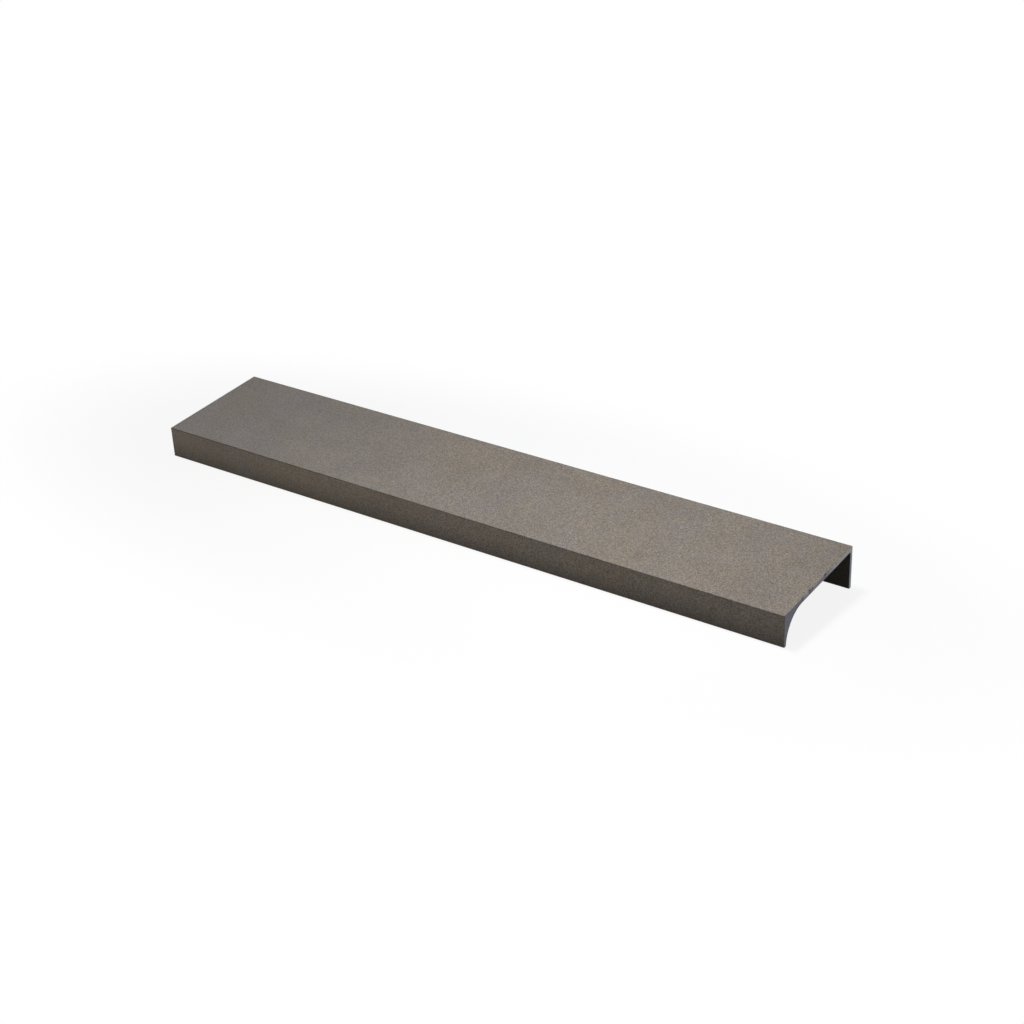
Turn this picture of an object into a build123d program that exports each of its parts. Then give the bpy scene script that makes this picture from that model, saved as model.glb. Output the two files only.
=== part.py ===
from build123d import *
import math
import os

# Cabinet edge pull: one length of extruded aluminium profile, cut square at both ends.
# The web lies along the top edge of a door or drawer front. The back leg goes down
# behind the front and is screwed to it. The lip hangs over the face of the front and
# is hollowed on its inner side as a grip for the fingertips.

# Overall sizes of the profile, in mm
length = 200.0
depth = 38.0
lip_height = 9.4
leg_height = 12.7

# Wall thicknesses
web_thickness = 1.3
leg_thickness = 1.1
lip_edge_thickness = 1.1

# Corner radii of the profile
outer_corner_radius = 0.2
foot_corner_radius = 0.3
lip_inner_edge_radius = 0.3
inner_corner_radius = 0.4

# Screw holes through the back leg, countersunk from behind
screw_hole_count = 2
screw_hole_spacing = 160.0
screw_hole_diameter = 3.5
screw_hole_drop = 7.0
countersink_diameter = 5.2
countersink_angle = 90.0

# The finger hollow is a quarter circle that leaves the underside of the web and runs
# straight down into the lip's edge, so its radius is what the lip has below the web.
grip_radius = lip_height - web_thickness
grip_start = lip_edge_thickness + grip_radius
leg_inner_face = depth - leg_thickness

# Section, with the front face of the lip at zero depth and the top face at zero height
with BuildSketch(Plane.YZ) as section:
    with BuildLine():
        walls = FilletPolyline(
            (lip_edge_thickness, -lip_height),
            (0, -lip_height),
            (0, 0),
            (depth, 0),
            (depth, -leg_height),
            (leg_inner_face, -leg_height),
            (leg_inner_face, -web_thickness),
            (grip_start, -web_thickness),
            radius=(
                foot_corner_radius,
                outer_corner_radius,
                outer_corner_radius,
                foot_corner_radius,
                foot_corner_radius,
                inner_corner_radius,
            ),
        )
        TangentArc(walls @ 1, walls @ 0, tangent=walls % 1)
    make_face()
    lip_inner_edge = section.vertices().sort_by_distance((lip_edge_thickness, -lip_height))[0]
    fillet(lip_inner_edge, radius=lip_inner_edge_radius)

# The profile is drawn out along its length and drilled through the leg from behind
with BuildPart() as profile:
    extrude(section.sketch, amount=length / 2, both=True)
    leg_rear_face = Plane(origin=(0, depth, -screw_hole_drop), x_dir=(1, 0, 0), z_dir=(0, 1, 0))
    with Locations(leg_rear_face):
        with GridLocations(screw_hole_spacing, 0, screw_hole_count, 1):
            CounterSinkHole(
                radius=screw_hole_diameter / 2,
                counter_sink_radius=countersink_diameter / 2,
                depth=2 * leg_thickness,
                counter_sink_angle=countersink_angle,
            )

# Unheld, the pull stands on the outer edge of the lip and the inner edge of the leg.
# The leg is the taller of the two, so the top face slopes down towards the lip.
rest_tilt = math.degrees(math.atan2(leg_height - lip_height, leg_inner_face))
standing = Rot(X=rest_tilt) * profile.part
bounds = standing.bounding_box()
standing = Pos(-bounds.center().X, -bounds.center().Y, -bounds.min.Z) * standing

os.makedirs("parts", exist_ok=True)
export_step(standing, "parts/pull_profile.step")
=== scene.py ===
import math

import bpy
from mathutils import Matrix, Vector, noise


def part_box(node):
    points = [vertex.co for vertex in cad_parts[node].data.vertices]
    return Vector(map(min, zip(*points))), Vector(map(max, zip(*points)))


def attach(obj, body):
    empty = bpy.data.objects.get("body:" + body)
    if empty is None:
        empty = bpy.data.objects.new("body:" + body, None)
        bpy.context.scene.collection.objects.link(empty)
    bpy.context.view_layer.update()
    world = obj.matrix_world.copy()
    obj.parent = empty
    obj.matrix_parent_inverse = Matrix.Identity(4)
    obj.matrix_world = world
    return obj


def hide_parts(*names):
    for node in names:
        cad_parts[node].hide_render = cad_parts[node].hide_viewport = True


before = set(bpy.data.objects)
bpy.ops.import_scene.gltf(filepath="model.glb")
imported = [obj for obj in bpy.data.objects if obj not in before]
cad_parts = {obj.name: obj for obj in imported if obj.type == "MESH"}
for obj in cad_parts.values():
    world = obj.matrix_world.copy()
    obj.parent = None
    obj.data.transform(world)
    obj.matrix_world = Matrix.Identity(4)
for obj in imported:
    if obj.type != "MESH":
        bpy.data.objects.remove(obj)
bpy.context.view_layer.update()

# Cabinet edge pull: one length of aluminium profile with a satin titanium-brown coat, sawn off
# bare at both ends. Everything is in metres in the frame of the solid, which stands on the
# outer edge of its lip and the inner edge of its leg.
MM = 0.001

# Section of the profile, drawn with the front of the lip at y = 0 and the top face at z = 0.
# Places on the pull are given this way too: x from the middle, y back from the lip's face and
# z up from the top.
DEPTH = 38.0 * MM
LIP_HEIGHT = 9.4 * MM
LEG_HEIGHT = 12.7 * MM
WEB = 1.3 * MM
LEG = 1.1 * MM
LIP_EDGE = 1.1 * MM
OUTER_RADIUS = 0.2 * MM
FOOT_RADIUS = 0.3 * MM
LIP_INNER_RADIUS = 0.3 * MM
INNER_RADIUS = 0.4 * MM

# Screw holes in the leg
HOLE_SPACING = 160.0 * MM
HOLE_RADIUS = 1.75 * MM
HOLE_DROP = 7.0 * MM
SINK_RADIUS = 2.6 * MM

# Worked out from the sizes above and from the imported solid
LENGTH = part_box("pull_profile")[1].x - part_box("pull_profile")[0].x
LEG_FACE = DEPTH - LEG
GRIP_RADIUS = LIP_HEIGHT - WEB
GRIP_START = LIP_EDGE + GRIP_RADIUS
REST_TILT = math.atan2(LEG_HEIGHT - LIP_HEIGHT, LEG_FACE)

# How finely the mesh follows the section, the sawn ends and the screw holes
OUTLINE_STEP = 0.25 * MM
CORNER_STEPS = 8
END_RINGS = [0.0, 0.04 * MM, 0.1 * MM, 0.18 * MM, 0.3 * MM, 0.5 * MM, 1.0 * MM, 3.0 * MM]
MIDDLE_SPANS = 26
HOLE_SEGMENTS = 96

# Where two faces meet at more than this, the shading keeps a sharp edge
SHARP_ANGLE = math.radians(28)

# The saw breaks the edge all round both ends: an even loss, and an uneven one on top of it. Along
# the pull the broken edge reaches a little further than it goes into the metal.
BROKEN_EDGE = 0.045 * MM
RAGGED_EDGE = 0.05 * MM
RAGGED_SCALE, RAGGED_SEED = 0.9 * MM, 7.0
RAGGED_FINER, RAGGED_FINER_SHARE = 3.1, 0.4
BROKEN_REACH = 1.25

# Small bites out of the top edge of the right end, each with its place from the lip's face,
# half its width and its depth
BITES = [
    (9.5 * MM, 0.34 * MM, 0.20 * MM),
    (13.7 * MM, 0.50 * MM, 0.22 * MM),
    (15.0 * MM, 0.28 * MM, 0.14 * MM),
    (22.2 * MM, 0.40 * MM, 0.20 * MM),
    (28.4 * MM, 0.22 * MM, 0.08 * MM),
]
BITE_JAG, BITE_JAG_SCALE, BITE_SEED = 0.35, 0.2 * MM, 3.0

# Towards the back of the right end the coat has flaked off a little further
FLAKED_EDGE = 0.3 * MM
FLAKED_FROM = 22.5 * MM
FLAKED_FADE = 4 * MM
FLAKED_SCALE, FLAKED_SHARE, FLAKED_SEED = 0.45 * MM, 0.15, 11.0

# The channel's slot gets a darker, matt copy of the coat: painted shade inside the channel.
COAT_SLOT, BARE_SLOT, CHANNEL_SHADE_SLOT = 0, 1, 2

# The middle part of a noise's range, which is drawn out to 0 to 1
NOISE_RANGE = (0.3, 0.7)
DRIFT_NOISE_RANGE = (0.32, 0.68)

# The coat: metal flake, and patches of tone and hue from small to broad, each with a place of
# its own in the noise
FLAKE = 0.22 * MM
MOTTLE = {"Size": 2.4 * MM, "Seed": 8.0}
HUE_SPOTS = {"Size": 3.4 * MM, "Seed": 14.0}
WARM_DRIFT = {"Size": 21 * MM, "Seed": 2.0}
CLOUDS = {"Size": 13 * MM, "Seed": 23.0}
MOTTLE_LEVELS = (0.99, 1.01)
CLOUD_LEVELS = (0.93, 1.07)
FLAKE_TINTS = ((1.055, 0.98, 0.94, 1), (0.945, 1.02, 1.068, 1))
HUE_TINTS = ((1.018, 1.005, 0.955, 1), (0.982, 0.991, 1.048, 1))
WARM_TINTS = ((1.02, 1.003, 0.95, 1), (0.98, 0.997, 1.05, 1))

# The flake has less contrast at the left end than right of the middle
CALM_CONTRAST = 0.55
LIVELY_FROM = 0.1 * LENGTH

# Faint smudges on the top, each with its place, its reach and how much it darkens the coat
SMUDGES = [
    ((54.6 * MM, 6.4 * MM, 0.0), 3.2 * MM, 0.22),
    ((91.7 * MM, 24.2 * MM, 0.0), 3.4 * MM, 0.1),
]
SMUDGE_CORE = 0.3 * MM

# Painted shade on the lip's face: it gets darker towards its lower edge, and has a thin dark line
# under the top edge.
# Behind the face both fade out within the first range.
FACE_FADE = (0.13 * MM, 0.21 * MM)
LOWER_SHADE, LOWER_SHADE_FROM, LOWER_SHADE_CURVE = 0.66, -2.2 * MM, 1.5
TOP_LINE_SHADE, TOP_LINE = 0.55, (-0.34 * MM, -0.14 * MM)

# Gloss and relief of the coat
COAT_ROUGHNESS = (0.54, 0.42)
DIE_LINES = (14.0, 2600.0, 2600.0)
DIE_LINE_ROUGHNESS = 0.02
PEEL_SCALE, PEEL_SHARE = 1700.0, 0.4
COAT_RELIEF, COAT_RELIEF_STRENGTH = 0.02 * MM, 0.4

# Greys of the sawn metal: the lip's and the leg's, and along the web from the lip back, each with
# where it starts and where it is full. They differ partly by the metal's own tone and partly by
# painted shade, and their blue tint is a painted reflection.
LIP_METAL = (0.076, 0.077, 0.112, 1)
LEG_METAL = (0.178, 0.208, 0.262, 1)
# Torn metal, which under the bites is also painted shade in the dents
TORN_METAL_AND_DENT_SHADE = (0.034, 0.034, 0.039, 1)
WEB_METALS = [
    (9 * MM, 11.5 * MM, (0.188, 0.192, 0.224, 1)),
    (14 * MM, 20 * MM, (0.139, 0.14, 0.163, 1)),
    (24 * MM, 28 * MM, (0.295, 0.29, 0.288, 1)),
]
BELOW_WEB = (-3 * MM, -WEB)
LIP_TO_LEG = (20 * MM, 25 * MM)

# Where the saw has torn the metal: the broken edge round the ends, fainter towards the back, where
# the coat flaked off, and a spot under each bite, sized by that bite. The spot under a bite is
# partly torn metal and partly painted shade in the dent.
TORN_FROM_CUT = (0.03 * MM, 0.12 * MM)
TORN_WITHIN = (1.0 * MM, 2.0 * MM)
FLAKED_METAL, FLAKED_TORN_SHARE = (FLAKED_FROM, FLAKED_FROM + 3 * MM), 0.15
BITE_SPOT_DROP, BITE_SPOT_CORE, BITE_SPOT_REACH, BITE_SPOT_STRENGTH = 2.4, 0.6, 2.2, 0.95

# Tool lines, grain and patches of the sawn metal, and the share of each in its shade
SAW_LINES = (900.0, 350.0, 9000.0)
LINE_SHARE, GRAIN_SHARE, PATCH_SHARE = 0.5, 0.25, 0.25
SAW_ANGLE = math.radians(38)
METAL_GRAIN, METAL_GRAIN_SHARE = 0.12 * MM, 0.6
METAL_PATCHES = {"Size": 2 * MM, "Seed": 5.0}
METAL_LEVELS = (0.72, 1.28)
METAL_ROUGHNESS = (0.5, 0.36)
METAL_RELIEF, METAL_RELIEF_STRENGTH = 0.02 * MM, 0.5


def arc(centre, radius, start, end):
    """Points of one rounded stretch of the section. Angles are in degrees from +Y towards +Z."""
    turn = math.radians(end - start)
    steps = max(CORNER_STEPS, math.ceil(abs(turn) * radius / OUTLINE_STEP))
    angles = [math.radians(start) + turn * k / steps for k in range(steps + 1)]
    return [Vector((centre[0] + radius * math.cos(a), centre[1] + radius * math.sin(a))) for a in angles]


def section_outline():
    """The section as one closed loop of points, counter-clockwise seen from the right end."""
    lip_round = math.degrees(math.asin(LIP_INNER_RADIUS / (GRIP_RADIUS + LIP_INNER_RADIUS)))
    lip_round_y = GRIP_START - math.sqrt(GRIP_RADIUS**2 + 2 * GRIP_RADIUS * LIP_INNER_RADIUS)
    foot_z = FOOT_RADIUS - LEG_HEIGHT
    corners = [
        arc((FOOT_RADIUS, FOOT_RADIUS - LIP_HEIGHT), FOOT_RADIUS, 180, 270),
        arc((lip_round_y, LIP_INNER_RADIUS - LIP_HEIGHT), LIP_INNER_RADIUS, -90, -lip_round),
        arc((GRIP_START, -LIP_HEIGHT), GRIP_RADIUS, 180 - lip_round, 90),
        arc((LEG_FACE - INNER_RADIUS, -WEB - INNER_RADIUS), INNER_RADIUS, 90, 0),
        arc((LEG_FACE + FOOT_RADIUS, foot_z), FOOT_RADIUS, 180, 270),
        arc((DEPTH - FOOT_RADIUS, foot_z), FOOT_RADIUS, -90, 0),
        arc((DEPTH - OUTER_RADIUS, -OUTER_RADIUS), OUTER_RADIUS, 0, 90),
        arc((OUTER_RADIUS, -OUTER_RADIUS), OUTER_RADIUS, 90, 180),
    ]
    same_point = 1e-9
    outline = []
    for corner, following in zip(corners, corners[1:] + corners[:1]):
        joins_on = outline and (outline[-1] - corner[0]).length <= same_point
        outline += corner[1:] if joins_on else corner
        gap = following[0] - corner[-1]
        spans = math.ceil(gap.length / OUTLINE_STEP)
        outline += [corner[-1] + gap * k / spans for k in range(1, spans)]
    return outline


def inward_directions(outline):
    """Unit vectors in the section that point from each outline point into the metal."""
    directions = []
    for k, point in enumerate(outline):
        along = outline[(k + 1) % len(outline)] - outline[k - 1]
        directions.append(Vector((-along.y, along.x)).normalized())
    return directions


def top_edge_loss(place):
    """How much more the top edge of the right end has lost, this far back from the lip's face."""
    loss = 0.0
    for centre, half_width, depth in BITES:
        spot = Vector((place / BITE_JAG_SCALE, centre / MM, BITE_SEED))
        jag = 1 + BITE_JAG * noise.noise(spot)
        loss += depth * jag * math.exp(-(((place - centre) / half_width) ** 4))
    flaked = max(0.0, noise.noise(Vector((place / FLAKED_SCALE, 0.0, FLAKED_SEED))) + FLAKED_SHARE)
    return loss + FLAKED_EDGE * flaked * min(1.0, max(0.0, (place - FLAKED_FROM) / FLAKED_FADE))


def edge_loss(point, side):
    """How far the edge is broken at this point of the section, on the left (-1) or right (1) end."""
    spot = Vector((point.x / RAGGED_SCALE, point.y / RAGGED_SCALE, RAGGED_SEED * side))
    ragged = noise.noise(spot) + RAGGED_FINER_SHARE * noise.noise(spot * RAGGED_FINER)
    loss = BROKEN_EDGE + RAGGED_EDGE * max(0.0, ragged)
    on_top_edge = point.y > -0.5 * OUTER_RADIUS
    if side > 0 and on_top_edge:
        loss += top_edge_loss(point.x)
    return loss


def in_channel(start, end):
    """Whether this stretch of the section faces the inside of the channel."""
    middle = (start + end) / 2
    below_web = middle.y < -0.5 * WEB
    behind_lip = middle.x > LIP_EDGE - LIP_INNER_RADIUS
    before_leg = middle.x < LEG_FACE + 0.05 * FOOT_RADIUS
    return below_web and behind_lip and before_leg


def ring_places():
    """The x of each ring of the mesh, with the end it belongs to, or 0, and its distance from it."""
    middle = LENGTH / 2 - END_RINGS[-1]
    left = [(distance - LENGTH / 2, -1, distance) for distance in END_RINGS]
    between = [(-middle + 2 * middle * k / MIDDLE_SPANS, 0, 0.0) for k in range(1, MIDDLE_SPANS)]
    right = [(LENGTH / 2 - distance, 1, distance) for distance in reversed(END_RINGS)]
    return left + between + right


def profile_mesh():
    """The coated profile with its two sawn ends, still square to the axes, without screw holes."""
    outline = section_outline()
    inward = inward_directions(outline)
    rings = ring_places()
    vertices, worn = [], []
    for x, side, distance in rings:
        for point, direction in zip(outline, inward):
            loss = edge_loss(point, side) if side else 0.0
            share = max(0.0, 1 - distance / (BROKEN_REACH * loss)) if side else 0.0
            moved = point + direction * loss * share
            vertices.append((x, moved.x, moved.y))
            worn.append(share > 0)

    count = len(outline)
    faces, slots = [], []
    for ring in range(len(rings) - 1):
        low, high = ring * count, (ring + 1) * count
        for k in range(count):
            following = (k + 1) % count
            face = (low + k, low + following, high + following, high + k)
            faces.append(face)
            # Faces inside the channel get the copy of the coat with painted shade.
            coated = CHANNEL_SHADE_SLOT if in_channel(outline[k], outline[following]) else COAT_SLOT
            slots.append(BARE_SLOT if sum(worn[v] for v in face) >= 3 else coated)
    last = (len(rings) - 1) * count
    faces.append(tuple(reversed(range(count))))
    faces.append(tuple(range(last, last + count)))
    slots += [BARE_SLOT, BARE_SLOT]
    return new_mesh("edge_pull", vertices, faces, slots)


def screw_cutter(x):
    """A turned cutter that leaves one countersunk hole when it is taken out of the leg."""
    clear = 1.0 * MM
    sink_depth = SINK_RADIUS - HOLE_RADIUS
    turned = [
        (SINK_RADIUS + clear, clear),
        (SINK_RADIUS, 0.0),
        (HOLE_RADIUS, -sink_depth),
        (HOLE_RADIUS, -LEG - clear),
    ]
    around = HOLE_SEGMENTS
    vertices, faces = [], []
    for radius, out in turned:
        for k in range(around):
            angle = 2 * math.pi * k / around
            across, up = radius * math.cos(angle), radius * math.sin(angle)
            vertices.append((x + across, DEPTH + out, up - HOLE_DROP))
    for ring in range(len(turned) - 1):
        for k in range(around):
            a, b = ring * around + k, ring * around + (k + 1) % around
            faces.append((a, b, b + around, a + around))
    faces.append(tuple(reversed(range(around))))
    faces.append(tuple(range((len(turned) - 1) * around, len(turned) * around)))
    return new_mesh("screw_cutter", vertices, faces, [BARE_SLOT] * len(faces))


def new_mesh(name, vertices, faces, slots):
    """A mesh of these faces, each with its material slot."""
    mesh = bpy.data.meshes.new(name)
    mesh.from_pydata(vertices, [], faces)
    mesh.polygons.foreach_set("material_index", slots)
    return mesh


def linked(name, data):
    """An object of this data, put in the scene."""
    made = bpy.data.objects.new(name, data)
    bpy.context.scene.collection.objects.link(made)
    return made


def rest_placement(outline):
    """Turns the square section to the way it stands, with its base at z = 0 and its middle at y = 0."""
    turn = Matrix.Rotation(REST_TILT, 4, "X")
    standing = [turn @ Vector((0, point.x, point.y)) for point in outline]
    low_y, high_y = min(p.y for p in standing), max(p.y for p in standing)
    return Matrix.Translation((0, -(low_y + high_y) / 2, -min(p.z for p in standing))) @ turn


def drill_screw_holes(pull, finishes):
    """Takes the two countersunk holes out of the pull's mesh."""
    cutters = []
    for side in (-1, 1):
        cutter = linked("screw_cutter", screw_cutter(side * HOLE_SPACING / 2))
        for material in finishes:
            cutter.data.materials.append(material)
        drill = pull.modifiers.new("drill", "BOOLEAN")
        drill.operation = "DIFFERENCE"
        drill.solver = "EXACT"
        drill.object = cutter
        cutters.append(cutter)
    bpy.context.view_layer.update()
    evaluated = pull.evaluated_get(bpy.context.evaluated_depsgraph_get())
    drilled = bpy.data.meshes.new_from_object(evaluated)
    pull.modifiers.clear()
    plain = pull.data
    pull.data = drilled
    drilled.name = "edge_pull"
    bpy.data.meshes.remove(plain)
    for cutter in cutters:
        bpy.data.meshes.remove(cutter.data)


def build_pull(finishes):
    """The one piece of the object, in place of the plain solid."""
    pull = linked("edge_pull", profile_mesh())
    for material in finishes:
        pull.data.materials.append(material)
    drill_screw_holes(pull, finishes)
    pull.data.transform(rest_placement(section_outline()))
    pull.data.shade_smooth()
    pull.data.set_sharp_from_angle(angle=SHARP_ANGLE)
    even = pull.modifiers.new("even shading", "WEIGHTED_NORMAL")
    even.keep_sharp = True
    even.weight = 100
    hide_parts("pull_profile")
    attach(pull, "root")


def feed(tree, socket, value):
    """Sets a socket to a number or colour, or links another node's output to it."""
    if isinstance(value, bpy.types.NodeSocket):
        tree.links.new(value, socket)
    else:
        socket.default_value = value


def add_node(tree, kind, inputs=None, **settings):
    """A node with its settings, and then its inputs: numbers, colours or other nodes' outputs."""
    made = tree.nodes.new(kind)
    for name, value in settings.items():
        setattr(made, name, value)
    for name, value in (inputs or {}).items():
        feed(tree, made.inputs[name], value)
    return made


def math_node(tree, operation, *values, clamp=False):
    """A sum, product or other calculation on numbers."""
    inputs = dict(enumerate(values))
    return add_node(tree, "ShaderNodeMath", inputs, operation=operation, use_clamp=clamp).outputs[0]


def vector_node(tree, operation, *values):
    """A calculation on vectors that gives a vector."""
    inputs = dict(enumerate(values))
    return add_node(tree, "ShaderNodeVectorMath", inputs, operation=operation).outputs[0]


def scaled(tree, vector, factor):
    """A vector times a number."""
    inputs = {0: vector, "Scale": factor}
    return add_node(tree, "ShaderNodeVectorMath", inputs, operation="SCALE").outputs[0]


def mapped(tree, value, low, high, to_low, to_high, smooth=False):
    """A number taken from one range to another and held within it."""
    made = add_node(
        tree,
        "ShaderNodeMapRange",
        {"Value": value, "From Min": low, "From Max": high, "To Min": to_low, "To Max": to_high},
        interpolation_type="SMOOTHSTEP" if smooth else "LINEAR",
    )
    return made.outputs["Result"]


def mixed(tree, share, first, second, blend="MIX"):
    """A mix of two colours. The node's inputs 6 and 7 and its output 2 are its colours."""
    made = add_node(tree, "ShaderNodeMix", data_type="RGBA", blend_type=blend)
    for socket, value in ((0, share), (6, first), (7, second)):
        feed(tree, made.inputs[socket], value)
    return made.outputs[2]


def level_colour(tree, level):
    """A grey of the given level, to darken or lighten a colour with."""
    inputs = {"Red": level, "Green": level, "Blue": level}
    return add_node(tree, "ShaderNodeCombineColor", inputs).outputs[0]


def relief_node(tree, height, depth, strength):
    """The normal of a surface with a fine relief of this height, from 0 to 1, and full depth."""
    inputs = {"Strength": strength, "Distance": depth, "Height": height}
    return add_node(tree, "ShaderNodeBump", inputs).outputs[0]


def near_mask(tree, where, centre, inner, outer):
    """1 within the inner distance of a place and 0 beyond the outer one."""
    away = add_node(tree, "ShaderNodeVectorMath", {0: where, 1: centre}, operation="DISTANCE")
    return mapped(tree, away.outputs["Value"], inner, outer, 1.0, 0.0, True)


def new_group(name, inputs, outputs):
    """A shader node group with named sockets. Each input is a name, a kind and a value."""
    group = bpy.data.node_groups.new(name, "ShaderNodeTree")
    for label, kind, value in inputs:
        socket = group.interface.new_socket(label, in_out="INPUT", socket_type="NodeSocket" + kind)
        if value is not None:
            socket.default_value = value
    for label, kind in outputs:
        group.interface.new_socket(label, in_out="OUTPUT", socket_type="NodeSocket" + kind)
    return group, group.nodes.new("NodeGroupInput").outputs, group.nodes.new("NodeGroupOutput").inputs


def place_group(tree, group, **inputs):
    """The outputs of a node group placed in a material. A socket's name has _ for its spaces here."""
    made = add_node(tree, "ShaderNodeGroup", node_tree=group)
    for name, value in inputs.items():
        feed(tree, made.inputs[name.replace("_", " ")], value)
    return made.outputs


def speckle_group():
    """Fine speckle: tiny cells of random shade and tint, with a share of soft grain in the shade."""
    group, given, out = new_group(
        "fine speckle",
        [("Coordinates", "Vector", None), ("Size", "Float", 0.3 * MM), ("Grain Share", "Float", 0.5)],
        [("Shade", "Float"), ("Tint", "Float")],
    )
    per_metre = math_node(group, "DIVIDE", 1.0, given["Size"])
    placed = scaled(group, given["Coordinates"], per_metre)
    cells = add_node(group, "ShaderNodeTexVoronoi", {"Vector": placed, "Scale": 1.0, "Randomness": 1.0})
    cell_values = add_node(group, "ShaderNodeSeparateColor", {"Color": cells.outputs["Color"]})
    grain = add_node(
        group, "ShaderNodeTexNoise", {"Vector": placed, "Scale": 0.62, "Detail": 2.0, "Roughness": 0.6}
    )
    grain_value = mapped(group, grain.outputs[0], *NOISE_RANGE, 0.0, 1.0)
    shade = add_node(
        group,
        "ShaderNodeMix",
        {"Factor": given["Grain Share"], 2: cell_values.outputs["Red"], 3: grain_value},
        data_type="FLOAT",
    )
    group.links.new(shade.outputs[0], out["Shade"])
    group.links.new(cell_values.outputs["Blue"], out["Tint"])
    return group


def drift_group():
    """Slow drift: broad soft patches, from 0 to 1."""
    group, given, out = new_group(
        "slow drift",
        [("Coordinates", "Vector", None), ("Size", "Float", 20 * MM), ("Seed", "Float", 0.0)],
        [("Value", "Float")],
    )
    per_metre = math_node(group, "DIVIDE", 1.0, given["Size"])
    placed = scaled(group, given["Coordinates"], per_metre)
    field = add_node(
        group,
        "ShaderNodeTexNoise",
        {"Vector": placed, "W": given["Seed"], "Scale": 1.0, "Detail": 2.5, "Roughness": 0.5},
        noise_dimensions="4D",
    )
    group.links.new(mapped(group, field.outputs[0], *DRIFT_NOISE_RANGE, 0.0, 1.0), out["Value"])
    return group


def streak_group():
    """Streaks: noise drawn out along one axis, as a die or a saw leaves them."""
    group, given, out = new_group(
        "streaks",
        [("Coordinates", "Vector", None), ("Stretch", "Vector", (1.0, 1.0, 1.0)), ("Turn", "Float", 0.0)],
        [("Value", "Float")],
    )
    turned = add_node(
        group,
        "ShaderNodeVectorRotate",
        {"Vector": given["Coordinates"], "Angle": given["Turn"]},
        rotation_type="X_AXIS",
    )
    stretched = vector_node(group, "MULTIPLY", turned.outputs[0], given["Stretch"])
    lines = add_node(
        group, "ShaderNodeTexNoise", {"Vector": stretched, "Scale": 1.0, "Detail": 3.0, "Roughness": 0.65}
    )
    group.links.new(mapped(group, lines.outputs[0], *NOISE_RANGE, 0.0, 1.0), out["Value"])
    return group


def new_material(name):
    """An empty node material and its tree."""
    material = bpy.data.materials.new(name)
    material.use_nodes = True
    material.node_tree.nodes.clear()
    return material, material.node_tree


def section_coordinates(tree):
    """Places on the standing pull as the section is drawn, as one vector and as its x, y and z."""
    where = add_node(tree, "ShaderNodeTexCoord").outputs["Object"]
    back = rest_placement(section_outline()).inverted()
    drawn = add_node(
        tree,
        "ShaderNodeMapping",
        {"Vector": where, "Location": back.to_translation(), "Rotation": back.to_euler()},
        vector_type="POINT",
    ).outputs[0]
    return drawn, add_node(tree, "ShaderNodeSeparateXYZ", {"Vector": drawn}).outputs


def painted_lip_shade(tree, place):
    """How much painted shade darkens the coat on the lip's face, from 0 to 1, and 0 everywhere else."""
    on_face = mapped(tree, place["Y"], *FACE_FADE, 1, 0)
    lower = mapped(tree, place["Z"], -LIP_HEIGHT, LOWER_SHADE_FROM, 1, 0)
    lower = math_node(tree, "POWER", lower, LOWER_SHADE_CURVE)
    top_line = math_node(tree, "MULTIPLY", mapped(tree, place["Z"], *TOP_LINE, 0, 1, True), TOP_LINE_SHADE)
    shade = math_node(tree, "MULTIPLY_ADD", lower, LOWER_SHADE, top_line)
    return math_node(tree, "MULTIPLY", shade, on_face, clamp=True)


def coat_level(tree, where, place, drift):
    """How light the coat is from place to place: mottle, clouds, smudges and painted shade on the lip's
    face.
    """
    mottle = place_group(tree, drift, Coordinates=where, **MOTTLE)["Value"]
    clouds = place_group(tree, drift, Coordinates=where, **CLOUDS)["Value"]
    level = mapped(tree, mottle, 0, 1, *MOTTLE_LEVELS)
    level = math_node(tree, "MULTIPLY", level, mapped(tree, clouds, 0, 1, *CLOUD_LEVELS))
    for centre, reach, darkening in SMUDGES:
        smudge = near_mask(tree, where, centre, SMUDGE_CORE, reach)
        level = math_node(tree, "MULTIPLY", level, mapped(tree, smudge, 0, 1, 1.0, 1.0 - darkening))
    lit = math_node(tree, "SUBTRACT", 1.0, painted_lip_shade(tree, place))
    return math_node(tree, "MULTIPLY", level, lit)


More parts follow.
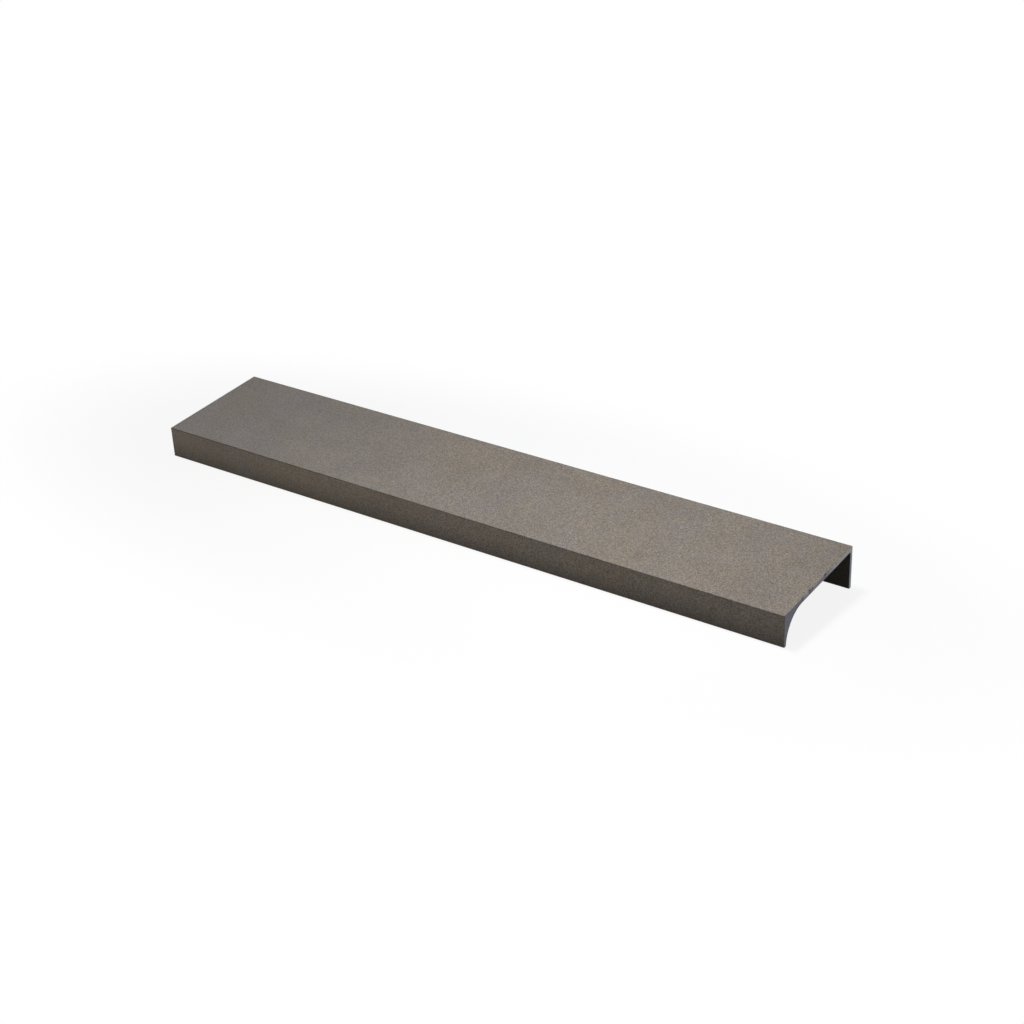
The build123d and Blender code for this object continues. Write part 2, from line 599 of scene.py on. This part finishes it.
def coat_material(name, speckle, drift, streaks, light, deep, metallic, gloss):
    """Satin coat: metal flake from a deep to a light tone, patches of tone and hue, and a faint peel."""
    material, tree = new_material(name)
    where, place = section_coordinates(tree)
    flake = place_group(tree, speckle, Coordinates=where, Size=FLAKE, Grain_Share=0.0)
    hue = place_group(tree, drift, Coordinates=where, **HUE_SPOTS)["Value"]
    warm = place_group(tree, drift, Coordinates=where, **WARM_DRIFT)["Value"]
    die_lines = place_group(tree, streaks, Coordinates=where, Stretch=DIE_LINES)["Value"]

    contrast = mapped(tree, place["X"], -LENGTH / 2, LIVELY_FROM, CALM_CONTRAST, 1.0, True)
    from_middle = math_node(tree, "SUBTRACT", flake["Shade"], 0.5)
    shade = math_node(tree, "MULTIPLY_ADD", from_middle, contrast, 0.5)
    tone = mixed(tree, shade, deep, light)
    for share, tints in ((flake["Tint"], FLAKE_TINTS), (hue, HUE_TINTS), (warm, WARM_TINTS)):
        tone = mixed(tree, 1.0, tone, mixed(tree, share, *tints), "MULTIPLY")
    level = coat_level(tree, where, place, drift)
    tone = mixed(tree, 1.0, tone, level_colour(tree, level), "MULTIPLY")

    roughness = mapped(tree, flake["Shade"], 0, 1, *COAT_ROUGHNESS)
    lined = mapped(tree, die_lines, 0, 1, -DIE_LINE_ROUGHNESS, DIE_LINE_ROUGHNESS)
    roughness = math_node(tree, "ADD", roughness, lined)
    peel = add_node(
        tree, "ShaderNodeTexNoise", {"Vector": where, "Scale": PEEL_SCALE, "Detail": 1.5, "Roughness": 0.5}
    )
    relief = math_node(tree, "MULTIPLY_ADD", peel.outputs[0], PEEL_SHARE, flake["Shade"])
    bump = relief_node(tree, relief, COAT_RELIEF, COAT_RELIEF_STRENGTH)
    surface = add_node(
        tree,
        "ShaderNodeBsdfPrincipled",
        {
            "Base Color": tone,
            "Roughness": roughness,
            "Metallic": metallic,
            "Specular IOR Level": gloss,
            "Normal": bump,
        },
    )
    add_node(tree, "ShaderNodeOutputMaterial", {"Surface": surface.outputs[0]})
    return material


def sawn_grey(tree, place):
    """The grey of the cut metal by its place, partly its own tone and partly painted shade and reflection:
    along the web, and below it from the lip to the leg.
    """
    metal = LIP_METAL
    for start, full, grey in WEB_METALS:
        metal = mixed(tree, mapped(tree, place["Y"], start, full, 0, 1, True), metal, grey)
    below = mixed(tree, mapped(tree, place["Y"], *LIP_TO_LEG, 0, 1), LIP_METAL, LEG_METAL)
    return mixed(tree, mapped(tree, place["Z"], *BELOW_WEB, 1, 0, True), metal, below)


def torn_and_dent_shade_mask(tree, where, place):
    """How dark the metal is where the saw tore it, from 0 to 1: in the broken edge round the ends, and
    under the bites, where it is partly painted shade in the dents.
    """
    from_cut = math_node(tree, "SUBTRACT", LENGTH / 2, math_node(tree, "ABSOLUTE", place["X"]))
    broken = mapped(tree, from_cut, *TORN_FROM_CUT, 0, 1, True)
    near_end = mapped(tree, from_cut, *TORN_WITHIN, 1, 0)
    less_at_back = mapped(tree, place["Y"], *FLAKED_METAL, 1.0, FLAKED_TORN_SHARE)
    torn = math_node(tree, "MULTIPLY", math_node(tree, "MULTIPLY", broken, near_end), less_at_back)
    for centre, half_width, depth in BITES:
        under_bite = (LENGTH / 2, centre, -BITE_SPOT_DROP * depth)
        core, reach = BITE_SPOT_CORE * half_width, BITE_SPOT_REACH * half_width
        spot = near_mask(tree, where, under_bite, core, reach)
        torn = math_node(tree, "MAXIMUM", torn, math_node(tree, "MULTIPLY", spot, BITE_SPOT_STRENGTH))
    return torn


def bare_material(speckle, drift, streaks):
    """Bare aluminium where the profile was sawn and drilled after coating, with fine tool lines."""
    material, tree = new_material("sawn bare aluminium")
    where, place = section_coordinates(tree)
    lines = place_group(tree, streaks, Coordinates=where, Stretch=SAW_LINES, Turn=SAW_ANGLE)["Value"]
    grain = place_group(
        tree, speckle, Coordinates=where, Size=METAL_GRAIN, Grain_Share=METAL_GRAIN_SHARE
    )["Shade"]
    patches = place_group(tree, drift, Coordinates=where, **METAL_PATCHES)["Value"]

    shade = math_node(tree, "MULTIPLY", grain, GRAIN_SHARE)
    shade = math_node(tree, "MULTIPLY_ADD", lines, LINE_SHARE, shade)
    shade = math_node(tree, "MULTIPLY_ADD", patches, PATCH_SHARE, shade, clamp=True)
    level = mapped(tree, shade, 0, 1, *METAL_LEVELS)
    metal = mixed(tree, 1.0, sawn_grey(tree, place), level_colour(tree, level), "MULTIPLY")
    # Darker torn metal, and painted shade in the dents under the bites
    metal = mixed(tree, torn_and_dent_shade_mask(tree, where, place), metal, TORN_METAL_AND_DENT_SHADE)
    bump = relief_node(tree, shade, METAL_RELIEF, METAL_RELIEF_STRENGTH)
    surface = add_node(
        tree,
        "ShaderNodeBsdfPrincipled",
        {
            "Base Color": metal,
            "Roughness": mapped(tree, shade, 0, 1, *METAL_ROUGHNESS),
            "Metallic": 0.55,
            "Specular IOR Level": 0.4,
            "Normal": bump,
        },
    )
    add_node(tree, "ShaderNodeOutputMaterial", {"Surface": surface.outputs[0]})
    return material


def build_finishes():
    """The three finishes, in the order of their slots on the pull."""
    groups = (speckle_group(), drift_group(), streak_group())
    outer_coat = coat_material(
        "satin titanium-brown coat",
        *groups,
        light=(0.297, 0.256, 0.216, 1),
        deep=(0.115, 0.097, 0.082, 1),
        metallic=0.15,
        gloss=0.2,
    )
    # A darker, matt copy of the outer coat, as painted shade inside the channel
    shaded_channel_coat = coat_material(
        "coat with painted shade inside the channel",
        *groups,
        light=(0.165, 0.142, 0.12, 1),
        deep=(0.085, 0.072, 0.06, 1),
        metallic=0.0,
        gloss=0.06,
    )
    return [outer_coat, bare_material(*groups), shaded_channel_coat]


def background_share(tree):
    """1 for rays that show the background, straight or through gloss or glass, and 0 for others."""
    rays = add_node(tree, "ShaderNodeLightPath").outputs
    seen = math_node(tree, "MAXIMUM", rays["Is Camera Ray"], rays["Is Glossy Ray"])
    return math_node(tree, "MAXIMUM", seen, rays["Is Transmission Ray"])


def floor_material():
    """Pale paper that shows as white and keeps a soft shadow near the pull."""
    white = (0.97, 0.97, 0.97, 1)
    muted = (0.1, 0.1, 0.1, 1)
    lift_near_pull = 0.88
    shadow_reach = (0.05, 0.095)
    along_pull = (0.5, 1.0, 1.0)
    material, tree = new_material("pale studio floor")
    seen = background_share(tree)
    paper = add_node(tree, "ShaderNodeBsdfDiffuse", {"Color": mixed(tree, seen, muted, white)})
    glow = add_node(tree, "ShaderNodeEmission", {"Color": (1, 1, 1, 1), "Strength": 1.0})
    where = add_node(tree, "ShaderNodeTexCoord").outputs["Object"]
    drawn_in = vector_node(tree, "MULTIPLY", where, along_pull)
    away = add_node(tree, "ShaderNodeVectorMath", {0: drawn_in}, operation="LENGTH").outputs["Value"]
    lift = mapped(tree, away, *shadow_reach, lift_near_pull, 1.0, True)
    share = math_node(tree, "MULTIPLY", seen, lift)
    lifted = add_node(tree, "ShaderNodeMixShader", {0: share, 1: paper.outputs[0], 2: glow.outputs[0]})
    add_node(tree, "ShaderNodeOutputMaterial", {"Surface": lifted.outputs[0]})
    return material


def build_floor():
    """A plain level floor under the pull."""
    half = 4.0
    corners = [(-half, -half, 0), (half, -half, 0), (half, half, 0), (-half, half, 0)]
    mesh = bpy.data.meshes.new("studio_floor")
    mesh.from_pydata(corners, [], [(0, 1, 2, 3)])
    mesh.materials.append(floor_material())
    floor = linked("studio_floor", mesh)


def build_world():
    """White where it is seen or mirrored, and a dim soft fill for everything else."""
    fill = 0.16
    world = bpy.data.worlds.new("studio")
    world.use_nodes = True
    bpy.context.scene.world = world
    tree = world.node_tree
    tree.nodes.clear()
    level = mapped(tree, background_share(tree), 0, 1, fill, 1.0)
    sky = add_node(tree, "ShaderNodeBackground", {"Color": (1, 1, 1, 1), "Strength": level})
    add_node(tree, "ShaderNodeOutputWorld", {"Surface": sky.outputs[0]})


def soft_lamp(name, place, aim, size, spread, power, colour):
    """A rectangular soft lamp. Its spread is in degrees and its power in watts."""
    lamp = bpy.data.lights.new(name, "AREA")
    lamp.shape = "RECTANGLE"
    lamp.size, lamp.size_y = size
    lamp.spread = math.radians(spread)
    lamp.energy = power
    lamp.color = colour
    made = linked(name, lamp)
    made.location = place
    made.rotation_euler = (Vector(aim) - Vector(place)).to_track_quat("-Z", "Y").to_euler()


def build_lamps():
    """A lamp overhead, aimed to the right, a warm one low in front and a cool one behind on the left."""
    soft_lamp(
        "overhead",
        place=(-0.0075, -0.037, 0.3),
        aim=(0.08, -0.0295, 0.0),
        size=(0.06, 0.06),
        spread=82.5,
        power=0.161,
        colour=(0.986, 1.0, 0.997),
    )
    soft_lamp(
        "front fill",
        place=(-0.17, -0.32, 0.12),
        aim=(-0.01, 0.0, 0.0),
        size=(0.12, 0.08),
        spread=75,
        power=0.0475,
        colour=(1.0, 0.912, 0.725),
    )
    soft_lamp(
        "left fill",
        place=(-0.55, 0.35, 0.5),
        aim=(-0.03, 0.0, 0.0),
        size=(0.4, 0.4),
        spread=180,
        power=0.484,
        colour=(0.66, 0.8, 1.0),
    )


def build_camera():
    """The photograph's view, from the front right and above."""
    aim = Vector((4.431, 3.862, 1.569)) * MM
    distance = 567.48 * MM
    azimuth, elevation, roll = math.radians(33.500), math.radians(26.285), math.radians(0.446)
    flat = math.cos(elevation)
    forward = Vector((-math.sin(azimuth) * flat, math.cos(azimuth) * flat, -math.sin(elevation)))
    level = forward.cross(Vector((0, 0, 1))).normalized()
    upright = level.cross(forward)
    right = level * math.cos(roll) + upright * math.sin(roll)
    up = upright * math.cos(roll) - level * math.sin(roll)
    data = bpy.data.cameras.new("camera")
    data.sensor_width = 36.0
    data.lens = 71.92
    data.clip_start = 0.01
    camera = linked("camera", data)
    turn = Matrix((right, up, -forward)).transposed().to_4x4()
    camera.matrix_world = Matrix.Translation(aim - forward * distance) @ turn
    bpy.context.scene.camera = camera


build_pull(build_finishes())
build_floor()
build_world()
build_lamps()
build_camera()
bpy.context.scene.view_settings.view_transform = "Standard"
